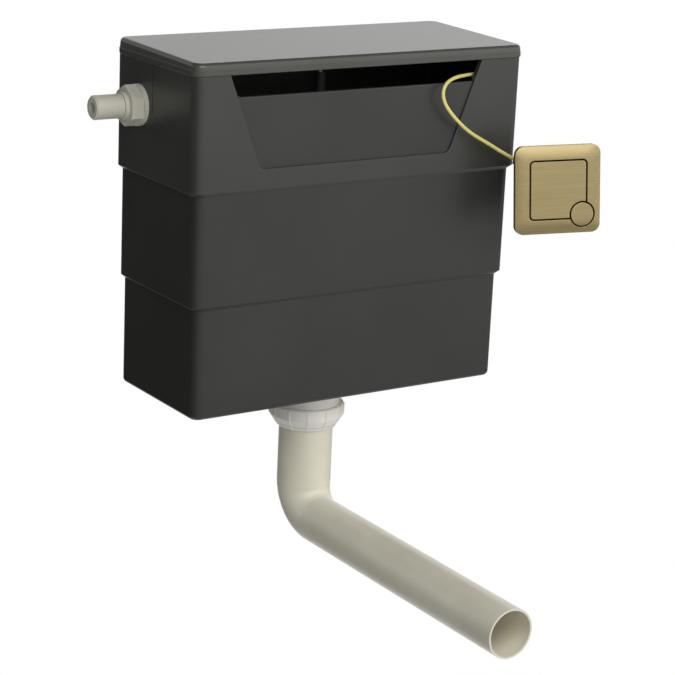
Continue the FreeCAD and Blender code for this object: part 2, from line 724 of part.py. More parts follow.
def fill_valve_cap():
    """Cap over the diaphragm with two ears for the float arm's pin."""
    inner = ARM_WIDTH / 2 + ARM_SIDE_CLEARANCE
    pieces = [rod(VALVE_HEAD_D, at_inlet(CAP_X), ALONG_X, CAP)]
    for side in (-1, 1):
        middle = side * (inner + EAR_WALL / 2)
        half = Vector(0, EAR_WALL / 2, EAR_HEIGHT / 2)
        start = at_inlet(EAR_X - OVERRUN) + Vector(0, middle, 0)
        tip = at_inlet(PIN_X) + Vector(0, middle - EAR_WALL / 2, 0)
        pieces.append(block(start - half, start + half + ALONG_X * (PIN_FROM_CAP + OVERRUN)))
        pieces.append(rod(EAR_HEIGHT, tip, ALONG_Y, EAR_WALL))
    pin_hole = rod(
        PIN_D + 2 * PIN_SEAT_CLEARANCE,
        at_inlet(PIN_X) - ALONG_Y * VALVE_HEAD_D,
        ALONG_Y,
        2 * VALVE_HEAD_D,
    )
    return joined(pieces).cut(pin_hole)


def float_pin():
    half = ARM_WIDTH / 2 + ARM_SIDE_CLEARANCE + EAR_WALL
    return rod(PIN_D, at_inlet(PIN_X) - ALONG_Y * half, ALONG_Y, 2 * half)


def at_float(z):
    return Vector(FLOAT_X, INLET_Y, z)


def float_arm():
    """Arm that droops from its hub to a level boss over the float."""
    start = at_inlet(PIN_X) - ALONG_Y * (ARM_WIDTH / 2)
    reach = (FLOAT_X - PIN_X) / math.cos(math.radians(ARM_DROOP_DEG))
    bar = block(start - ALONG_Z * (ARM_HEIGHT / 2), start + Vector(reach, ARM_WIDTH, ARM_HEIGHT / 2))
    bar.rotate(at_inlet(PIN_X), ALONG_Y, ARM_DROOP_DEG)
    arm = joined([
        bar,
        rod(ARM_HUB_D, start, ALONG_Y, ARM_WIDTH),
        rod(ARM_BOSS_D, at_float(BOSS_Z - ARM_BOSS_HEIGHT / 2), ALONG_Z, ARM_BOSS_HEIGHT),
    ])
    pin_hole = rod(
        PIN_D + 2 * PIN_RUNNING_CLEARANCE,
        start - ALONG_Y * OVERRUN,
        ALONG_Y,
        ARM_WIDTH + 2 * OVERRUN,
    )
    rod_hole = rod(
        FLOAT_ROD_D + 2 * THREAD_CLEARANCE,
        at_float(BOSS_Z - ARM_BOSS_D),
        ALONG_Z,
        2 * ARM_BOSS_D,
    )
    return arm.cut([pin_hole, rod_hole])


def float_top():
    return BOSS_Z - ARM_BOSS_HEIGHT / 2


def float_solid():
    """Sealed float with a neck under the arm's boss."""
    body_z = float_top() - FLOAT_NECK - FLOAT_HEIGHT
    body = rod(FLOAT_D, at_float(body_z), ALONG_Z, FLOAT_HEIGHT)
    shoulder_z = body_z + FLOAT_HEIGHT
    body = body.makeFillet(FLOAT_EDGE_R, level_edges(body, body_z) + level_edges(body, shoulder_z))
    neck = rod(FLOAT_NECK_D, at_float(shoulder_z), ALONG_Z, FLOAT_NECK)
    socket_z = float_top() - FLOAT_ROD_IN_FLOAT
    socket_d = FLOAT_ROD_D + 2 * THREAD_CLEARANCE
    socket = rod(socket_d, at_float(socket_z), ALONG_Z, FLOAT_ROD_IN_FLOAT + OVERRUN)
    return joined([body, neck]).cut(socket)


def float_adjust_nut():
    bore = FLOAT_ROD_D + 2 * THREAD_CLEARANCE
    return ring(FLOAT_NUT_D, bore, at_float(BOSS_Z + ARM_BOSS_HEIGHT / 2), ALONG_Z, FLOAT_NUT)


def float_rod():
    foot = float_top() - FLOAT_ROD_IN_FLOAT
    head = BOSS_Z + ARM_BOSS_HEIGHT / 2 + FLOAT_NUT + FLOAT_ROD_ABOVE_NUT
    return rod(FLOAT_ROD_D, at_float(foot), ALONG_Z, head - foot)


# Outlet and flush pipe

def at_outlet(z):
    return Vector(0, OUTLET_Y, z)


def outlet_base():
    """Flange and seat inside the tank, threaded tail below it."""
    tail = rod(OUTLET_THREAD_D, at_outlet(TAIL_END_Z), ALONG_Z, FLANGE_TOP_Z - TAIL_END_Z)
    flange = rod(OUTLET_FLANGE_D, at_outlet(FLANGE_TOP_Z - OUTLET_FLANGE), ALONG_Z, OUTLET_FLANGE)
    seat_foot = at_outlet(FLANGE_TOP_Z - OVERRUN)
    seat = ring(SEAT_D, SEAT_D - 2 * SEAT_WALL, seat_foot, ALONG_Z, SEAT_HEIGHT + OVERRUN)
    bore = rod(OUTLET_BORE_D, at_outlet(TAIL_END_Z - OVERRUN), ALONG_Z, SEAT_Z - TAIL_END_Z)
    return joined([tail, flange, seat]).cut(bore)


def outlet_seal():
    bore = OUTLET_THREAD_D + 2 * THREAD_CLEARANCE
    return ring(OUTLET_FLANGE_D, bore, at_outlet(FLOOR_Z), ALONG_Z, OUTLET_SEAL)


def outlet_back_nut():
    """Hand nut with scalloped grips, tight under the floor."""
    nut_z = BOTTOM_Z - BACK_NUT_HEIGHT
    bore = OUTLET_THREAD_D + 2 * THREAD_CLEARANCE
    nut = ring(BACK_NUT_D, bore, at_outlet(nut_z), ALONG_Z, BACK_NUT_HEIGHT)
    notches = []
    for index in range(BACK_NUT_LOBES):
        angle = math.tau * index / BACK_NUT_LOBES
        offset = Vector(math.cos(angle), math.sin(angle), 0) * (BACK_NUT_D / 2)
        foot = at_outlet(nut_z - OVERRUN) + offset
        notches.append(rod(BACK_NUT_NOTCH_D, foot, ALONG_Z, BACK_NUT_HEIGHT - OVERRUN))
    return nut.cut(notches)


def coupling_nut():
    """Ribbed barrel that narrows to the pipe."""
    barrel_z = COUPLING_TOP_Z - COUPLING_BARREL
    barrel = rod(COUPLING_D, at_outlet(barrel_z), ALONG_Z, COUPLING_BARREL)
    barrel = barrel.makeFillet(COUPLING_EDGE_R, level_edges(barrel, COUPLING_TOP_Z))
    cone = Part.makeCone(
        COUPLING_BOTTOM_D / 2,
        COUPLING_D / 2,
        COUPLING_CONE,
        at_outlet(COUPLING_BOTTOM_Z),
        ALONG_Z,
    )
    pieces = [barrel, cone]
    rib_top = COUPLING_TOP_Z - COUPLING_EDGE_R
    corners = []
    for stand in (RIB_DEPTH, -RIB_ROOT):
        corners.append(Vector(COUPLING_D / 2 + stand, -RIB_WIDTH / 2, rib_top))
        corners.append(Vector(COUPLING_D / 2 + stand, -RIB_WIDTH / 2, barrel_z))
        corners.append(Vector(COUPLING_BOTTOM_D / 2 + stand, -RIB_WIDTH / 2, COUPLING_BOTTOM_Z))
    outline = corners[:3] + corners[:2:-1] + corners[:1]
    for index in range(COUPLING_RIBS):
        rib = prism(Part.makePolygon(outline), ALONG_Y * RIB_WIDTH)
        rib.rotate(Vector(0, 0, 0), ALONG_Z, 360.0 * index / COUPLING_RIBS)
        rib.translate(Vector(0, OUTLET_Y, 0))
        pieces.append(rib)
    thread_z = COUPLING_BOTTOM_Z + COUPLING_FLOOR
    thread_d = OUTLET_THREAD_D + 2 * THREAD_CLEARANCE
    thread = rod(thread_d, at_outlet(thread_z), ALONG_Z, COUPLING_TOP_Z - thread_z + OVERRUN)
    slip_foot = at_outlet(COUPLING_BOTTOM_Z - OVERRUN)
    slip = rod(PIPE_D + 2 * PIPE_SLIP, slip_foot, ALONG_Z, COUPLING_FLOOR + 2 * OVERRUN)
    return joined(pieces).cut([thread, slip])


def cone_seal():
    foot = COUPLING_BOTTOM_Z + COUPLING_FLOOR
    return ring(OUTLET_THREAD_D, PIPE_D + 2 * PIPE_SLIP, at_outlet(foot), ALONG_Z, TAIL_END_Z - foot)


def pipe_core(inset, extend):
    """Drop, reducing bend and arm, drawn in by the wall and run past both ends for the bore."""
    arm_z = BOTTOM_Z - ARM_BELOW_TANK
    top_z = TAIL_END_Z + PIPE_IN_TAIL + extend
    bend_start = at_outlet(arm_z + PIPE_BEND_R)
    bend_end = Vector(0, OUTLET_Y - PIPE_BEND_R, arm_z)
    lean = PIPE_BEND_R * (1 - math.sqrt(0.5))
    bend_middle = Vector(0, OUTLET_Y - lean, arm_z + lean)
    spine = Part.Wire(Part.Arc(bend_start, bend_middle, bend_end).toShape())
    bend = Part.BRepOffsetAPI.MakePipeShell(spine)
    bend.add(Part.Wire(Part.makeCircle(PIPE_D / 2 - inset, bend_start, ALONG_Z * -1)))
    bend.add(Part.Wire(Part.makeCircle(PIPE_ARM_D / 2 - inset, bend_end, ALONG_Y * -1)))
    bend.build()
    bend.makeSolid()
    return joined([
        rod(PIPE_D - 2 * inset, bend_start, ALONG_Z, top_z - bend_start.z),
        bend.shape(),
        rod(PIPE_ARM_D - 2 * inset, bend_end, ALONG_Y * -1, ARM_REACH - PIPE_BEND_R + extend),
    ])


def flush_pipe():
    return pipe_core(0.0, 0.0).cut(pipe_core(PIPE_WALL, OVERRUN))


# Flush valve and the cable's end on it

def valve_tower():
    """Cage that stands on the outlet flange and guides the overflow tube."""
    height = TOWER_TOP_Z - FLANGE_TOP_Z
    tower = rod(TOWER_D, at_outlet(FLANGE_TOP_Z), ALONG_Z, height)
    foot = at_outlet(FLANGE_TOP_Z - OVERRUN)
    inside = rod(TOWER_D - 2 * TOWER_WALL, foot, ALONG_Z, height - TOWER_ROOF + OVERRUN)
    guide = rod(OVERFLOW_D + 2 * OVERFLOW_GUIDE_CLEARANCE, foot, ALONG_Z, height + 2 * OVERRUN)
    cuts = [inside, guide]
    window_z = FLANGE_TOP_Z + WINDOW_ABOVE_FLANGE
    for index in range(TOWER_WINDOWS):
        window = block(
            Vector(0, -WINDOW_WIDTH / 2, window_z),
            Vector(TOWER_D, WINDOW_WIDTH / 2, window_z + WINDOW_HEIGHT),
        )
        window.rotate(Vector(0, 0, 0), ALONG_Z, 360.0 * index / TOWER_WINDOWS)
        window.translate(Vector(0, OUTLET_Y, 0))
        cuts.append(window)
    return tower.cut(cuts)


def valve_disc():
    """Disc on the overflow tube's foot, over the seal."""
    return ring(VALVE_DISC_D, OVERFLOW_D, at_outlet(DISC_Z), ALONG_Z, VALVE_DISC)


def overflow_tube():
    bore = OVERFLOW_D - 2 * OVERFLOW_WALL
    return ring(OVERFLOW_D, bore, at_outlet(DISC_Z), ALONG_Z, OVERFLOW_TOP_Z - CROSSBAR_HEIGHT - DISC_Z)


def lift_bar():
    """Bar across the overflow tube's top that the lift wire pulls."""
    top = at_outlet(OVERFLOW_TOP_Z)
    half = Vector(OVERFLOW_D / 2, CROSSBAR_WIDTH / 2, 0)
    return block(top - half - ALONG_Z * CROSSBAR_HEIGHT, top + half)


def valve_seal():
    return ring(VALVE_SEAL_D, OUTLET_BORE_D, at_outlet(SEAT_Z), ALONG_Z, VALVE_SEAL)


def cable_bracket():
    """Arch on the tower that holds the cable's end over the overflow tube."""
    half_depth = BRACKET_DEPTH / 2
    pieces = [block(
        at_outlet(BRIDGE_Z) - Vector(BRACKET_SPAN / 2, half_depth, 0),
        at_outlet(BRIDGE_TOP_Z) + Vector(BRACKET_SPAN / 2, half_depth, 0),
    )]
    for side in (-1, 1):
        middle = side * (BRACKET_SPAN - BRACKET_POST) / 2
        half = Vector(BRACKET_POST / 2, half_depth, 0)
        foot = at_outlet(TOWER_TOP_Z) + Vector(middle, 0, 0)
        pieces.append(block(foot - half, foot + half + ALONG_Z * (BRIDGE_TOP_Z - TOWER_TOP_Z)))
    hole = rod(FERRULE_NECK_D, at_outlet(BRIDGE_Z - OVERRUN), ALONG_Z, BRACKET_BRIDGE + 2 * OVERRUN)
    return joined(pieces).cut(hole)


def cable_ferrule():
    neck = rod(FERRULE_NECK_D, at_outlet(BRIDGE_Z), ALONG_Z, BRACKET_BRIDGE + OVERRUN)
    barrel = rod(FERRULE_D, at_outlet(BRIDGE_TOP_Z), ALONG_Z, FERRULE_LENGTH)
    bore = rod(WIRE_BORE_D, at_outlet(BRIDGE_Z - OVERRUN), ALONG_Z, FERRULE_TOP_Z - BRIDGE_Z + 2 * OVERRUN)
    return joined([neck, barrel]).cut(bore)


def lift_wire():
    return rod(WIRE_D, at_outlet(OVERFLOW_TOP_Z), ALONG_Z, BRIDGE_Z + WIRE_IN_FERRULE - OVERFLOW_TOP_Z)


def cable_inside():
    """Cable from the ferrule up, across and round to the slot."""
    points = [
        at_outlet(FERRULE_TOP_Z),
        at_outlet(CABLE_RUN_Z),
        CABLE_TURN_START,
        CABLE_TURN_END,
        CABLE_EXIT,
    ]
    radii = [0, CABLE_RISE_R]
    for before, corner, after in zip(points[1:], points[2:], points[3:]):
        radii.append(CABLE_TURN_SHARE * CABLE_TURN_ROOM / half_turn_tangent(corner, before, after))
    radii.append(0)
    print("inner cable radii", ["%.1f" % radius for radius in radii[1:-1]])
    return tube_along(rounded_wire(points, radii, False), CABLE_D)


def cable_clip():
    """Clip on the right wall that holds the cable where it turns."""
    middle = (CABLE_TURN_START + CABLE_TURN_END) / 2
    along = (CABLE_TURN_END - CABLE_TURN_START).normalize()
    half_stem = Vector(0, CLIP_WIDTH / 2, CLIP_STEM / 2)
    on_wall = Vector(RIGHT_INNER_X, middle.y, middle.z)
    stem = block(middle - half_stem, on_wall + half_stem)
    grip = rod(CLIP_D, middle - along * (CLIP_WIDTH / 2), along, CLIP_WIDTH)
    bore = rod(CABLE_D + 2 * CLIP_CLEARANCE, middle - along * CLIP_WIDTH, along, 2 * CLIP_WIDTH)
    return joined([grip, stem]).cut(bore)


# Flush plate, drawn with its rear face on Y = 0 and then put in place

def plate_placement():
    turn = Rotation(ALONG_Z, PLATE_YAW_DEG)
    turn = turn.multiply(Rotation(ALONG_X, PLATE_TILT_DEG))
    turn = turn.multiply(Rotation(ALONG_Y, PLATE_ROLL_DEG))
    return Placement(PLATE_PLACE, turn)


def half_button_axis(y):
    return Vector(HALF_BUTTON_X, y, HALF_BUTTON_Z)


def plate_cover():
    """Square with a rim and a border that swells towards the front."""
    half = PLATE_SIZE / 2
    outlines = []
    for step in range(PLATE_BORDER_STEPS + 1):
        share = step / PLATE_BORDER_STEPS
        side = half - PLATE_BORDER * share
        depth = -PLATE_RIM - PLATE_RISE * (1 - (1 - share) ** 2)
        outlines.append(rounded_square(side, depth, PLATE_CORNER_R * side / half))
    rim = prism(rounded_square(half, 0.0, PLATE_CORNER_R), ALONG_Y * -PLATE_RIM)
    return joined([rim, Part.makeLoft(outlines, True, False)])


def front_edges(shape):
    """Edges on the plane of the plate's front."""
    return [edge for edge in shape.Edges if edge.BoundBox.YMax < PLATE_FRONT_Y + TINY]


def half_button_edges(shape, diameter):
    """Edges where the half button's round wall meets the front."""
    found = []
    for edge in shape.Edges:
        middle = edge.valueAt((edge.FirstParameter + edge.LastParameter) / 2)
        off_wall = middle.distanceToPoint(half_button_axis(middle.y)) - diameter / 2
        if abs(off_wall) < TINY and edge.BoundBox.YMax < CAP_BACK_Y - TINY:
            found.append(edge)
    return found


def faceplate():
    """Cover with a hollow back and openings for both buttons."""
    half = PLATE_SIZE / 2
    hollow_wire = rounded_square(half - PLATE_SIDE_WALL, OVERRUN, PLATE_CORNER_R - PLATE_SIDE_WALL)
    hollow = prism(hollow_wire, ALONG_Y * -(PLATE_HOLLOW + OVERRUN))
    through = PLATE_FRONT_Y * 2
    square = prism(rounded_square(BUTTON_OPENING / 2, 0.0, BUTTON_OPENING_R), ALONG_Y * through)
    circle = rod(HALF_OPENING_D, half_button_axis(0.0), ALONG_Y * -1, -through)
    plate = plate_cover().cut([hollow, square, circle])
    edges = half_button_edges(plate, HALF_OPENING_D)
    for edge in front_edges(plate):
        box = edge.BoundBox
        if max(-box.XMin, box.XMax, -box.ZMin, box.ZMax) < BUTTON_OPENING / 2 + TINY:
            edges.append(edge)
    return plate.makeFillet(BUTTON_EDGE_R, edges)


def full_button():
    side = BUTTON_OPENING / 2 - BUTTON_GAP
    cap = prism(rounded_square(side, PLATE_FRONT_Y, BUTTON_OPENING_R - BUTTON_GAP), ALONG_Y * BUTTON_CAP)
    front = half_button_axis(PLATE_FRONT_Y - OVERRUN)
    cap = cap.cut(rod(HALF_OPENING_D, front, ALONG_Y, BUTTON_CAP + 2 * OVERRUN))
    return cap.makeFillet(BUTTON_EDGE_R, front_edges(cap))


def half_button():
    """Round button whose front follows the cover."""
    diameter = HALF_OPENING_D - 2 * BUTTON_GAP
    cap = rod(diameter, half_button_axis(PLATE_FRONT_Y - OVERRUN), ALONG_Y, BUTTON_CAP + OVERRUN)
    cap = cap.common(plate_cover())
    return cap.makeFillet(BUTTON_EDGE_R, half_button_edges(cap, diameter))


def at_full_stem(y):
    return Vector(FULL_STEM_X, y, FULL_STEM_Z)


def at_half_stem(y):
    return Vector(HALF_STEM_X, y, HALF_STEM_Z)


def toward_gland(shape):
    """Turn a shape drawn about the Y axis, gland on its -X side, to its place on the full button's stem."""
    shape.rotate(Vector(0, 0, 0), ALONG_Y, GLAND_TURN_DEG)
    shape.translate(at_full_stem(0.0))
    return shape


def ramp(gap, s_low, s_high, y_back):
    """Outline points of all that lies behind the sloping face that stem and slider share."""
    tip = RAMP_TIP + gap
    return [
        Vector(s_low, tip - s_low / SLIDER_RATIO, 0),
        Vector(s_high, tip - s_high / SLIDER_RATIO, 0),
        Vector(s_high, y_back, 0),
        Vector(s_low, y_back, 0),
    ]


def upright_prism(points, height):
    """Prism over points in the X and Y plane, centred on Z."""
    wire = Part.makePolygon([point - ALONG_Z * (height / 2) for point in points + points[:1]])
    return prism(wire, ALONG_Z * height)


def full_stem():
    """Stem with a collar for its spring and a sloping tip for the slider."""
    length = CAN_BACK_Y - CAP_BACK_Y
    stem = rod(FULL_STEM_D, Vector(0, CAP_BACK_Y, 0), ALONG_Y, length)
    reach = FULL_STEM_D
    stem = stem.cut(upright_prism(ramp(0.0, -reach, reach, CAN_BACK_Y + reach), 2 * reach))
    collar = rod(FULL_COLLAR_D, Vector(0, FULL_COLLAR_FRONT, 0), ALONG_Y, FULL_COLLAR)
    return toward_gland(joined([stem, collar]))


def half_stem():
    stem = rod(HALF_STEM_D, at_half_stem(CAP_BACK_Y), ALONG_Y, HALF_STEM_END - CAP_BACK_Y)
    return joined([stem, rod(HALF_COLLAR_D, at_half_stem(HALF_COLLAR_FRONT), ALONG_Y, HALF_COLLAR)])


def full_spring():
    spring = coil_spring(
        FULL_SPRING_D, FULL_SPRING_WIRE_D, FULL_SPRING_TURNS, FULL_COLLAR_FRONT + FULL_COLLAR, GUIDE_Y
    )
    spring.translate(at_full_stem(0.0))
    return spring


def half_spring():
    spring = coil_spring(
        HALF_SPRING_D, HALF_SPRING_WIRE_D, HALF_SPRING_TURNS, HALF_COLLAR_FRONT + HALF_COLLAR, BOX_FLOOR_Y
    )
    spring.translate(at_half_stem(0.0))
    return spring


def button_housing():
    """Flange, square box and round can, with guides for both stems."""
    flange_half = PLATE_SIZE / 2 - PLATE_SIDE_WALL - HOUSING_FLANGE_CLEARANCE
    flange_r = PLATE_CORNER_R - PLATE_SIDE_WALL - HOUSING_FLANGE_CLEARANCE
    box_half = HOUSING_BOX / 2
    inner_half = box_half - HOUSING_WALL
    outside = joined([
        prism(rounded_square(flange_half, -HOUSING_FLANGE, flange_r), ALONG_Y * HOUSING_FLANGE),
        prism(rounded_square(box_half, 0.0, HOUSING_BOX_R), ALONG_Y * HOUSING_BOX_DEPTH),
        rod(CAN_D, at_full_stem(BOX_FLOOR_Y), ALONG_Y, CAN_BACK_Y - BOX_FLOOR_Y),
    ])
    front = -HOUSING_FLANGE - OVERRUN
    box_wire = rounded_square(inner_half, front, HOUSING_BOX_R - HOUSING_WALL)
    cuts = [
        prism(box_wire, ALONG_Y * (BOX_FLOOR_Y - front)),
        rod(CAN_D - 2 * HOUSING_WALL, at_full_stem(GUIDE_Y), ALONG_Y, CAN_FLOOR_Y - GUIDE_Y),
        rod(HALF_STEM_D + 2 * STEM_RUNNING_CLEARANCE, at_half_stem(0.0), ALONG_Y, CAN_BACK_Y),
        toward_gland(rod(WIRE_BORE_D, Vector(0, GLAND_DEPTH, 0), ALONG_X * -1, CAN_D)),
    ]
    for side in (-1, 1):
        start = Vector(side * PANEL_SCREW_SPACING / 2, front, 0)
        cuts.append(rod(PANEL_SCREW_HOLE_D, start, ALONG_Y, HOUSING_FLANGE + 2 * OVERRUN))
    half_guide = Vector(inner_half + OVERRUN, 0, GUIDE_HEIGHT / 2)
    guide_front = Vector(0, GUIDE_Y, FULL_STEM_Z)
    guide = block(guide_front - half_guide, guide_front + half_guide + ALONG_Y * GUIDE_DEPTH)
    stem_hole = rod(
        FULL_STEM_D + 2 * STEM_RUNNING_CLEARANCE,
        at_full_stem(GUIDE_Y - OVERRUN),
        ALONG_Y,
        GUIDE_DEPTH + 2 * OVERRUN,
    )
    return joined([outside.cut(cuts), guide.cut(stem_hole)])


def housing_gasket():
    outer = prism(rounded_square(GASKET_SIZE / 2, 0.0, PLATE_CORNER_R), ALONG_Y * GASKET)
    inner_half = HOUSING_BOX / 2 + THREAD_CLEARANCE
    hole = prism(rounded_square(inner_half, -OVERRUN, HOUSING_BOX_R), ALONG_Y * (GASKET + 2 * OVERRUN))
    return outer.cut(hole)


def slider_back():
    """Pocket end, and the slider's end beyond it, on the gland's side."""
    pocket = -(FULL_STEM_D / 2 + SLIDER_STROKE + SLIDER_POCKET_GAP)
    return pocket, pocket - SLIDER_WALL


def cable_slider():
    """Block with a sloping pocket that the stem drives away from the gland."""
    pocket_end, end = slider_back()
    back = CAN_FLOOR_Y - SLIDER_FLOOR_GAP
    half_width = SLIDER_WIDTH / 2
    ramp_front = (RAMP_TIP + RAMP_GAP - SLIDER_FRONT) * SLIDER_RATIO
    front_end = ramp_front + SLIDER_TAIL
    body = block(Vector(end, SLIDER_FRONT, -half_width), Vector(front_end, back, half_width))
    pocket = upright_prism(
        [
            Vector(pocket_end, SLIDER_FRONT - OVERRUN, 0),
            Vector(ramp_front + OVERRUN * SLIDER_RATIO, SLIDER_FRONT - OVERRUN, 0),
            Vector(pocket_end, RAMP_TIP + RAMP_GAP - pocket_end / SLIDER_RATIO, 0),
        ],
        FULL_STEM_D + 2 * SLIDER_POCKET_GAP,
    )
    return toward_gland(body.cut(pocket))


def slider_wire():
    end = slider_back()[1]
    far_end = -CAN_D / 2 - SLIDER_WIRE_IN_GLAND
    return toward_gland(rod(SLIDER_WIRE_D, Vector(end, GLAND_DEPTH, 0), ALONG_X * -1, end - far_end))


def cable_gland():
    """Sleeve that seats on the can's wall and takes the cable."""
    sleeve = rod(GLAND_D, Vector(0, GLAND_DEPTH, 0), ALONG_X * -1, GLAND_MOUTH)
    can = rod(CAN_D, Vector(0, 0, 0), ALONG_Y, CAN_BACK_Y + OVERRUN)
    bore = rod(WIRE_BORE_D, Vector(0, GLAND_DEPTH, 0), ALONG_X * -1, GLAND_MOUTH + OVERRUN)
    return toward_gland(sleeve.cut([can, bore]))


# Free cable from the slot to the plate

def flush_cable():
    """Cable along its route, with each corner as round as its runs allow."""
    turn = plate_placement().multiply(Placement(at_full_stem(0.0), Rotation(ALONG_Y, GLAND_TURN_DEG)))
    mouth = turn.multVec(Vector(-GLAND_MOUTH, GLAND_DEPTH, 0))
    before_mouth = turn.multVec(Vector(-GLAND_MOUTH - CABLE_LAST_RUN, GLAND_DEPTH, 0))
    points = [CABLE_EXIT]
    for step in CABLE_ROUTE:
        points.append(CABLE_EXIT + step)
    points += [before_mouth, mouth]
    radii = [0]
    for before, corner, after in zip(points, points[1:], points[2:]):
        shorter = min((corner - before).Length, (after - corner).Length)
        radii.append(CABLE_CORNER_SHARE * shorter / half_turn_tangent(corner, before, after))
    radii.append(0)
    wire = rounded_wire(points, radii, False)
    cable = tube_along(wire, CABLE_D)
    swept = math.pi * CABLE_D ** 2 / 4 * wire.Length
    print("cable radii", ["%.1f" % radius for radius in radii[1:-1]])
    print("cable length %.1f mm" % wire.Length)
    print("cable volume over section times length %.5f" % (cable.Volume / swept))
    return cable


TANK_NODES = {
    "tank_shell": tank_shell,
    "lid": lid,
    "inlet_lock_nut": inlet_lock_nut,
    "inlet_washer": inlet_washer,
    "inlet_shank": inlet_shank,
    "refill_tube": refill_tube,
    "fill_valve_diaphragm": fill_valve_diaphragm,
    "fill_valve_cap": fill_valve_cap,
    "float_pin": float_pin,
    "float_arm": float_arm,
    "float": float_solid,
    "float_adjust_nut": float_adjust_nut,
    "float_rod": float_rod,
    "outlet_base": outlet_base,
    "outlet_seal": outlet_seal,
    "outlet_back_nut": outlet_back_nut,
    "coupling_nut": coupling_nut,
    "cone_seal": cone_seal,
    "flush_pipe": flush_pipe,
    "valve_tower": valve_tower,
    "valve_disc": valve_disc,
    "overflow_tube": overflow_tube,
    "lift_bar": lift_bar,
    "valve_seal": valve_seal,
    "cable_bracket": cable_bracket,
    "cable_ferrule": cable_ferrule,
    "lift_wire": lift_wire,
    "cable_inside": cable_inside,
    "cable_clip": cable_clip,
    "flush_cable": flush_cable,
}

PLATE_NODES = {
    "faceplate": faceplate,
    "button_housing": button_housing,
    "housing_gasket": housing_gasket,
    "full_button": full_button,
    "full_stem": full_stem,
    "full_spring": full_spring,
    "half_button": half_button,
    "half_stem": half_stem,
    "half_spring": half_spring,
    "cable_slider": cable_slider,
    "slider_wire": slider_wire,
    "cable_gland": cable_gland,
}


def save(name, shape):
    if not shape.isValid() or len(shape.Solids) != 1:
        raise ValueError("%s is not one sound solid" % name)
    shape.exportStep("parts/%s.step" % name)


def main():
    os.makedirs("parts", exist_ok=True)
    for name, make in TANK_NODES.items():
        save(name, make())
    for name, make in PLATE_NODES.items():
        shape = make()
        shape.Placement = plate_placement().multiply(shape.Placement)
        save(name, shape)


main()
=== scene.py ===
import math

import bpy
from mathutils import Matrix, Vector


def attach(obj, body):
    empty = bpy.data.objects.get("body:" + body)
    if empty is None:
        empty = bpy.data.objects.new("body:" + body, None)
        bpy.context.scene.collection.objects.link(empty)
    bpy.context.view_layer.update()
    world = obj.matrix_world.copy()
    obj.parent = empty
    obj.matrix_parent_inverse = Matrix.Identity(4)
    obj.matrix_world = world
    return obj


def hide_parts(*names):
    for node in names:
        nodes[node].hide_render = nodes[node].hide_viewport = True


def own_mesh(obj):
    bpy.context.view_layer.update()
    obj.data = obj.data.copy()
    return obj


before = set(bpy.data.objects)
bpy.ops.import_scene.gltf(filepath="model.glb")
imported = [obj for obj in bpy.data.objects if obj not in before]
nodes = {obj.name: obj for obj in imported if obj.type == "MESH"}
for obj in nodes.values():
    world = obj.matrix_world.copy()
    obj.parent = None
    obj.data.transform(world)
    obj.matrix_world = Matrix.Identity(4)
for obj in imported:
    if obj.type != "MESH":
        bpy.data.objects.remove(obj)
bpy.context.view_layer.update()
scene = bpy.context.scene

# Camera, at the photographed angle
CAMERA_PLACE = Vector((-1.0524, -1.6759, 0.3192))
CAMERA_YAW = math.radians(33.936)
CAMERA_PITCH = math.radians(16.254)
CAMERA_ROLL = math.radians(2.577)
CAMERA_LENS = 116.92
CAMERA_SENSOR = 36.0

# Flush plate's place and turn
CABLE_EXIT = Vector((0.12395, -0.1275, 0.0032))
PLATE_PLACE = CABLE_EXIT + Vector((0.0530, -0.0602, -0.0966))
PLATE_TURN = (
    Matrix.Rotation(math.radians(-20.9), 3, "Z")
    @ Matrix.Rotation(math.radians(-4.5), 3, "X")
    @ Matrix.Rotation(math.radians(-2.3), 3, "Y")
)
STEM_PLACE = Vector((-0.0025, 0.0, 0.0080))
HALF_STEM_PLACE = Vector((0.0220, 0.0, -0.0220))

# Free cable: route from its exit, then a straight run into the gland behind the plate
CABLE_DIAMETER = 0.0032
CABLE_LAST_RUN = 0.016
CABLE_STEPS = (
    (-0.0144, -0.0040, 0.0002),
    (-0.0296, -0.0095, -0.0002),
    (-0.0416, -0.0143, -0.0034),
    (-0.0478, -0.0180, -0.0109),
    (-0.0462, -0.0205, -0.0213),
    (-0.0352, -0.0220, -0.0342),
    (-0.0187, -0.0225, -0.0478),
    (0.0040, -0.0220, -0.0596),
)
GLAND_REACH = 0.033
GLAND_DEPTH = 0.023
GLAND_TURN = Matrix.Rotation(math.radians(30.0), 3, "Y")

# Button springs: solid, joint, stem's place, depth of the stem's collar, depth of the spring's seat, stroke
SPRINGS = (
    ("full_spring", "full_press", STEM_PLACE, 0.0010, 0.0100, 0.005),
    ("half_spring", "half_press", HALF_STEM_PLACE, 0.0025, 0.0140, 0.003),
)

# Black mouldings: darker and lighter colour, roughness, strength of the grain, solid
BLACK_TANK = ((0.027, 0.027, 0.0245), (0.033, 0.033, 0.030), 0.36, 0.06, "tank_shell")
BLACK_LID = ((0.062, 0.061, 0.054), (0.072, 0.071, 0.063), 0.27, 0.003, "lid")

# The tank's top tier is painted a little lighter than the panel and the tiers set back from its faces. This
# is painted light, so the recessed panel and the lower tiers read as shaded.
# Each face has its axis, and two distances from the middle: behind the face, and on it.
TANK_FACES = (("X", 0.1660, 0.1680), ("Y", 0.1377, 0.1395))
PAINTED_LIGHT_ON_PROUD_FACES = (0.011, 0.011, 0.009)

